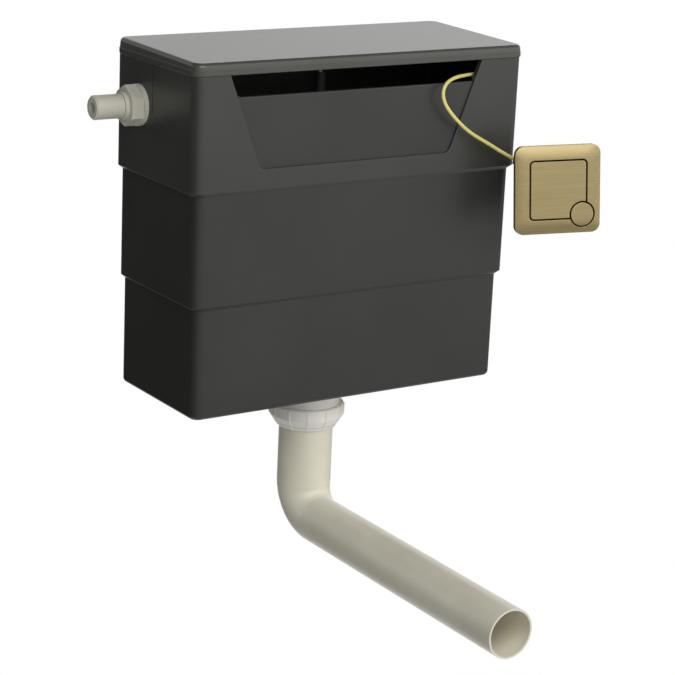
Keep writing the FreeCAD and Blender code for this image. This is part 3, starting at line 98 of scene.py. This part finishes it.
# Smooth plastics: darker and lighter colour, roughness, solids
PLASTICS = {
    "cream_pipe": ((0.73, 0.70, 0.57), (0.805, 0.775, 0.635), 0.34, ("flush_pipe",)),
    "white_moulding": (
        (0.83, 0.81, 0.75),
        (0.90, 0.88, 0.815),
        0.38,
        (
            "coupling_nut", "outlet_base", "outlet_back_nut", "overflow_tube", "valve_disc", "lift_bar",
            "float_adjust_nut",
        ),
    ),
    "off_white_moulding": (
        (0.51, 0.50, 0.415),
        (0.59, 0.58, 0.485),
        0.42,
        ("inlet_lock_nut", "inlet_shank", "fill_valve_cap"),
    ),
    "grey_moulding": (
        (0.50, 0.52, 0.54),
        (0.58, 0.60, 0.62),
        0.4,
        (
            "refill_tube", "float_arm", "float_rod", "valve_tower", "cable_bracket", "full_stem", "half_stem",
            "cable_slider",
        ),
    ),
    "float_skin": ((0.09, 0.10, 0.11), (0.13, 0.14, 0.15), 0.5, ("float",)),
    "black_fitting": (
        (0.024, 0.024, 0.024),
        (0.036, 0.036, 0.036),
        0.45,
        ("cable_ferrule", "cable_clip", "button_housing", "cable_gland"),
    ),
    "yellow_sheath": ((0.67, 0.58, 0.165), (0.80, 0.705, 0.24), 0.4, ("cable_inside",)),
}

# Streaks of the brushed brass: how fine they are along the brushing, and across it in both directions
BRUSHING = (14.0, 1300.0, 1300.0)

# Floor
FLOOR_LEVEL = -0.45
FLOOR_REACH = 100.0
WHITE = (1.0, 1.0, 1.0, 1.0)
BLACK = (0.0, 0.0, 0.0, 1.0)

# Key light, in front of the object and above it
KEY_PLACE = Vector((-0.25, -1.15, 0.75))
KEY_AIM = Vector((0.0, -0.14, -0.05))
KEY_WIDTH = 1.2
KEY_HEIGHT = 0.9
KEY_POWER = 10.5

# Studio surroundings: panels of light, each the product of its fades over the direction that is looked in.
# A fade has an axis, where on it the fade starts and ends, and the strength at its start and at its end.
PANELS = {
    "behind": (
        ("Y", 0.1, 0.6, 0.0, 1.0),
        ("Z", -0.05, 0.15, 0.0, 1.0),
        ("Z", 0.4, 0.65, 0.70, 0.0),
    ),
    "behind_low": (
        ("Y", 0.3, 0.8, 0.0, 1.0),
        ("X", -0.1, 0.3, 0.0, 1.0),
        ("Z", 0.1, -0.1, 0.0, 0.9),
    ),
    "ahead": (
        ("Y", 0.0, -0.8, 0.0, 1.0),
        ("Z", -0.5, 0.3, 0.15, 1.1),
        ("X", -0.95, -0.4, 0.0, 1.0),
        ("Z", 0.45, 0.7, 1.0, 0.1),
    ),
    "right": (
        ("X", 0.0, 0.9, 0.06, 0.65),
        ("Z", -0.4, 0.0, 0.2, 1.0),
        ("Z", 0.35, 0.6, 1.0, 0.1),
    ),
    "left": (
        ("X", -0.4, -0.8, 0.0, 0.35),
        ("Y", 0.0, -0.35, 0.0, 1.0),
        ("Z", -0.22, -0.06, 0.0, 1.0),
        ("Z", 0.3, 0.6, 1.0, 0.0),
    ),
    "below": (
        ("Z", -0.45, -0.8, 0.0, 0.65),
    ),
}


def make_camera():
    sin_yaw, cos_yaw = math.sin(CAMERA_YAW), math.cos(CAMERA_YAW)
    sin_pitch, cos_pitch = math.sin(CAMERA_PITCH), math.cos(CAMERA_PITCH)
    back = Vector((-sin_yaw * cos_pitch, -cos_yaw * cos_pitch, sin_pitch))
    level = Vector((cos_yaw, -sin_yaw, 0.0))
    upward = back.cross(level)
    right = level * math.cos(CAMERA_ROLL) + upward * math.sin(CAMERA_ROLL)
    up = upward * math.cos(CAMERA_ROLL) - level * math.sin(CAMERA_ROLL)
    data = bpy.data.cameras.new("camera")
    data.lens = CAMERA_LENS
    data.sensor_width = CAMERA_SENSOR
    camera = bpy.data.objects.new("camera", data)
    scene.collection.objects.link(camera)
    turn = Matrix((right, up, back)).transposed().to_4x4()
    camera.matrix_world = Matrix.Translation(CAMERA_PLACE) @ turn
    scene.camera = camera


# Materials

class Material:
    """A node material with one Principled shader and short ways to add what varies over it."""

    def __init__(self, name, **settings):
        self.material = bpy.data.materials.new(name)
        self.material.use_nodes = True
        self.tree = self.material.node_tree
        self.shader = self.tree.nodes["Principled BSDF"]
        for socket, value in settings.items():
            self.shader.inputs[socket.replace("_", " ")].default_value = value
        self.place = self.node("ShaderNodeTexCoord").outputs["Object"]

    def node(self, kind, **settings):
        made = self.tree.nodes.new(kind)
        for key, value in settings.items():
            setattr(made, key, value)
        return made

    def link(self, source, target):
        self.tree.links.new(source, target)

    def turned(self, location, turn, stretch):
        """Places measured in a turned frame, stretched along its axes."""
        local = self.node("ShaderNodeMapping", vector_type="TEXTURE")
        local.inputs["Location"].default_value = location
        local.inputs["Rotation"].default_value = turn.to_euler("XYZ")
        scaled = self.node("ShaderNodeMapping")
        scaled.inputs["Scale"].default_value = stretch
        self.link(self.place, local.inputs["Vector"])
        self.link(local.outputs["Vector"], scaled.inputs["Vector"])
        return scaled.outputs["Vector"]

    def noise(self, scale, detail, roughness=0.5, place=None):
        made = self.node("ShaderNodeTexNoise")
        made.inputs["Scale"].default_value = scale
        made.inputs["Detail"].default_value = detail
        made.inputs["Roughness"].default_value = roughness
        self.link(place or self.place, made.inputs["Vector"])
        return made.outputs["Fac"]

    def span(self, value, low, high, start=0.0, end=1.0):
        """Low where the value is at start, high where it is at end."""
        made = self.node("ShaderNodeMapRange")
        made.inputs["From Min"].default_value = start
        made.inputs["From Max"].default_value = end
        made.inputs["To Min"].default_value = low
        made.inputs["To Max"].default_value = high
        self.link(value, made.inputs["Value"])
        return made.outputs["Result"]

    def proud(self, faces):
        """1 on the outermost faces and 0 behind them."""
        distances = self.node("ShaderNodeVectorMath", operation="ABSOLUTE")
        axes = self.node("ShaderNodeSeparateXYZ")
        largest = self.node("ShaderNodeMath", operation="MAXIMUM")
        self.link(self.place, distances.inputs[0])
        self.link(distances.outputs["Vector"], axes.inputs["Vector"])
        for (axis, behind, face), share in zip(faces, largest.inputs):
            self.link(self.span(axes.outputs[axis], 0.0, 1.0, behind, face), share)
        return largest.outputs["Value"]

    def colour(self, value, dark, light, low=0.35, high=0.65):
        """Darker colour up to the low value, lighter from the high one, and blends of both between them."""
        made = self.node("ShaderNodeValToRGB")
        stops = ((low, dark), (high, light))
        for element, (position, colour) in zip(made.color_ramp.elements, stops):
            element.position = position
            element.color = (*colour, 1.0)
        self.link(value, made.inputs["Fac"])
        self.link(made.outputs["Color"], self.shader.inputs["Base Color"])

    def lighten(self, share, tint):
        """Add a tint to the colour, as far as share goes."""
        made = self.node("ShaderNodeMixRGB", blend_type="ADD")
        made.inputs["Color2"].default_value = (*tint, 1.0)
        socket = self.shader.inputs["Base Color"]
        self.link(share, made.inputs["Fac"])
        self.link(socket.links[0].from_socket, made.inputs["Color1"])
        self.link(made.outputs["Color"], socket)

    def rough(self, value, low, high):
        self.link(self.span(value, low, high), self.shader.inputs["Roughness"])

    def bump(self, value, strength, distance):
        """Add a relief to the surface, on top of any that is there."""
        made = self.node("ShaderNodeBump")
        made.inputs["Strength"].default_value = strength
        made.inputs["Distance"].default_value = distance
        self.link(value, made.inputs["Height"])
        before = self.shader.inputs["Normal"].links
        if before:
            self.link(before[0].from_socket, made.inputs["Normal"])
        self.link(made.outputs["Normal"], self.shader.inputs["Normal"])

    def put_on(self, *names):
        for name in names:
            slots = nodes[name].data.materials
            slots.clear()
            slots.append(self.material)


def black_moulding(name, dark, light, roughness, grain, solid):
    """Black moulded plastic with a fine grain, and a gloss that is the more uneven the stronger the grain."""
    made = Material(name, Specular_IOR_Level=0.5)
    made.colour(made.noise(scale=9.0, detail=3.0), dark, light)
    made.rough(made.noise(scale=60.0, detail=4.0), roughness - grain / 2, roughness + grain / 2)
    made.bump(made.noise(scale=1400.0, detail=3.0, roughness=0.6), strength=grain, distance=0.0002)
    made.bump(made.noise(scale=14.0, detail=1.0), strength=0.05, distance=0.002)
    made.put_on(solid)
    return made


def tank_and_lid():
    tank = black_moulding("black_tank", *BLACK_TANK)
    # Painted light: the proud faces are lightened, so the recess and the lower tiers look shaded next to them
    tank.lighten(tank.proud(TANK_FACES), PAINTED_LIGHT_ON_PROUD_FACES)
    black_moulding("black_lid", *BLACK_LID)


def smooth_plastic(name, dark, light, roughness, solids):
    """Moulded plastic with faint mottling, a slightly uneven gloss and a soft surface wave."""
    made = Material(name, Specular_IOR_Level=0.5)
    made.colour(made.noise(scale=22.0, detail=3.0), dark, light)
    made.rough(made.noise(scale=90.0, detail=3.0), roughness - 0.05, roughness + 0.06)
    made.bump(made.noise(scale=700.0, detail=2.0), strength=0.06, distance=0.0002)
    made.bump(made.noise(scale=30.0, detail=1.0), strength=0.05, distance=0.0015)
    made.put_on(*solids)
    return made.material


def rubber():
    made = Material("black_rubber", Specular_IOR_Level=0.3)
    mottling = made.noise(scale=60.0, detail=3.0)
    made.colour(mottling, dark=(0.012, 0.012, 0.012), light=(0.022, 0.022, 0.021))
    made.rough(made.noise(scale=200.0, detail=3.0), low=0.6, high=0.8)
    made.bump(made.noise(scale=1500.0, detail=2.0), strength=0.15, distance=0.0002)
    made.put_on(
        "inlet_washer", "fill_valve_diaphragm", "outlet_seal", "cone_seal", "valve_seal", "housing_gasket"
    )


def brushed_brass():
    made = Material("brushed_brass", Metallic=1.0)
    along = made.turned(PLATE_PLACE, PLATE_TURN, BRUSHING)
    streaks = made.noise(scale=1.0, detail=3.0, roughness=0.6, place=along)
    made.colour(streaks, dark=(0.375, 0.30, 0.152), light=(0.46, 0.37, 0.19), low=0.3, high=0.7)
    made.rough(streaks, low=0.43, high=0.53)
    made.bump(streaks, strength=0.12, distance=0.0001)
    made.put_on("faceplate", "full_button", "half_button")


def bright_wire():
    made = Material("bright_wire", Metallic=1.0)
    mottling = made.noise(scale=80.0, detail=3.0)
    made.colour(mottling, dark=(0.50, 0.50, 0.51), light=(0.62, 0.62, 0.63))
    made.rough(made.noise(scale=300.0, detail=3.0), low=0.22, high=0.36)
    made.bump(made.noise(scale=2500.0, detail=2.0), strength=0.1, distance=0.0001)
    made.put_on("float_pin", "lift_wire", "full_spring", "half_spring", "slider_wire")


# Free cable

def at_gland(reach):
    """Place on the gland's axis at a distance from the stem behind the full flush button."""
    return PLATE_PLACE + PLATE_TURN @ (STEM_PLACE + GLAND_TURN @ Vector((-reach, GLAND_DEPTH, 0.0)))


def make_cable(sheath):
    route = [CABLE_EXIT]
    for step in CABLE_STEPS:
        route.append(CABLE_EXIT + Vector(step))
    route += [at_gland(GLAND_REACH + CABLE_LAST_RUN), at_gland(GLAND_REACH)]
    curve = bpy.data.curves.new("cable", "CURVE")
    curve.dimensions = "3D"
    curve.bevel_depth = CABLE_DIAMETER / 2
    curve.bevel_resolution = 6
    curve.resolution_u = 16
    curve.use_fill_caps = True
    spline = curve.splines.new("NURBS")
    spline.points.add(len(route) - 1)
    for point, place in zip(spline.points, route):
        point.co = (*place, 1.0)
    spline.order_u = 3
    spline.use_endpoint_u = True
    spline.use_smooth = True
    curve.materials.append(sheath)
    cable = bpy.data.objects.new("cable", curve)
    scene.collection.objects.link(cable)
    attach(cable, "cistern")
    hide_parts("flush_cable")


# Button springs

def make_spring(node, joint, stem, collar, seat, stroke):
    """Coil in the shape of its solid, copied from it, with the solid itself hidden."""
    coil = bpy.data.objects.new(node + "_coil", nodes[node].data.copy())
    coil.matrix_world = nodes[node].matrix_world
    scene.collection.objects.link(coil)
    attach(coil, "cistern")
    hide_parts(node)
    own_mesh(coil)


# Floor and light

def make_floor():
    """White floor, kept out of the object's own light and reflections."""
    mesh = bpy.data.meshes.new("floor")
    corners = []
    for x, y in ((-1, -1), (1, -1), (1, 1), (-1, 1)):
        corners.append((x * FLOOR_REACH, y * FLOOR_REACH, FLOOR_LEVEL))
    mesh.from_pydata(corners, [], [(0, 1, 2, 3)])
    floor = bpy.data.objects.new("floor", mesh)
    scene.collection.objects.link(floor)
    pale = bpy.data.materials.new("pale_floor")
    pale.use_nodes = True
    shader = pale.node_tree.nodes["Principled BSDF"]
    shader.inputs["Base Color"].default_value = BLACK
    shader.inputs["Roughness"].default_value = 1.0
    shader.inputs["Specular IOR Level"].default_value = 0.0
    shader.inputs["Emission Color"].default_value = WHITE
    shader.inputs["Emission Strength"].default_value = 1.0
    mesh.materials.append(pale)
    floor.visible_diffuse = False
    floor.visible_glossy = False
    floor.visible_shadow = False


def make_key_light():
    data = bpy.data.lights.new("key", "AREA")
    data.shape = "RECTANGLE"
    data.size = KEY_WIDTH
    data.size_y = KEY_HEIGHT
    data.energy = KEY_POWER
    light = bpy.data.objects.new("key", data)
    scene.collection.objects.link(light)
    light.location = KEY_PLACE
    light.rotation_euler = (KEY_PLACE - KEY_AIM).to_track_quat("Z", "Y").to_euler()
    light.visible_camera = False


def make_world():
    """Studio surroundings: the panels of light together."""
    world = bpy.data.worlds.new("studio")
    scene.world = world
    world.use_nodes = True
    tree = world.node_tree
    axes = tree.nodes.new("ShaderNodeSeparateXYZ")
    tree.links.new(tree.nodes.new("ShaderNodeTexCoord").outputs["Generated"], axes.inputs["Vector"])

    def fade(axis, start, end, low, high):
        made = tree.nodes.new("ShaderNodeMapRange")
        made.interpolation_type = "SMOOTHSTEP"
        for socket, value in (("From Min", start), ("From Max", end), ("To Min", low), ("To Max", high)):
            made.inputs[socket].default_value = value
        tree.links.new(axes.outputs[axis], made.inputs["Value"])
        return made.outputs["Result"]

    def combine(operation, values):
        result = values[0]
        for value in values[1:]:
            made = tree.nodes.new("ShaderNodeMath")
            made.operation = operation
            tree.links.new(result, made.inputs[0])
            tree.links.new(value, made.inputs[1])
            result = made.outputs["Value"]
        return result

    panels = []
    for fades in PANELS.values():
        panels.append(combine("MULTIPLY", [fade(*facts) for facts in fades]))
    background = tree.nodes["Background"]
    background.inputs["Color"].default_value = WHITE
    tree.links.new(combine("ADD", panels), background.inputs["Strength"])


def make_lights():
    make_world()
    make_key_light()
    scene.view_settings.view_transform = "Standard"


make_camera()
tank_and_lid()
plastics = {name: smooth_plastic(name, *facts) for name, facts in PLASTICS.items()}
rubber()
brushed_brass()
bright_wire()
make_cable(plastics["yellow_sheath"])
for spring in SPRINGS:
    make_spring(*spring)
make_floor()
make_lights()
